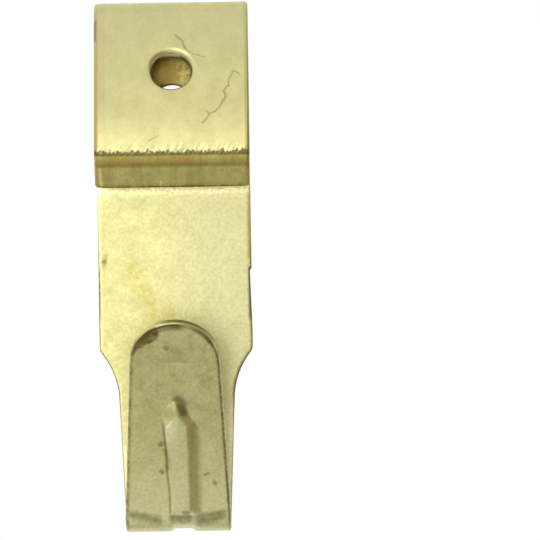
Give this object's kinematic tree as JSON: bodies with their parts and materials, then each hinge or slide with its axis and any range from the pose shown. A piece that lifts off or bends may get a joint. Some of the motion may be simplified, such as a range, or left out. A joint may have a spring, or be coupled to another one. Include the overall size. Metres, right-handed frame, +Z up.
{
  "type": "picture hook",
  "caption": "Brass-plated picture hook folded from one steel strip: sloped nail leaf over a back plate, shouldered neck and an upturned round-tipped tongue that holds a frame's wire.",
  "frame": {"origin": "centre of the nail's exit hole in the back plate, on the wall plane", "axes": "+X to the right seen from the front, +Y into the wall, +Z up along the back plate"},
  "size_m": [0.013, 0.0102, 0.0449],
  "materials": {
    "plating": "satin"
  },
  "bodies": {
    "root": {"picture_hook": "plating"}
  },
  "joints": []
}
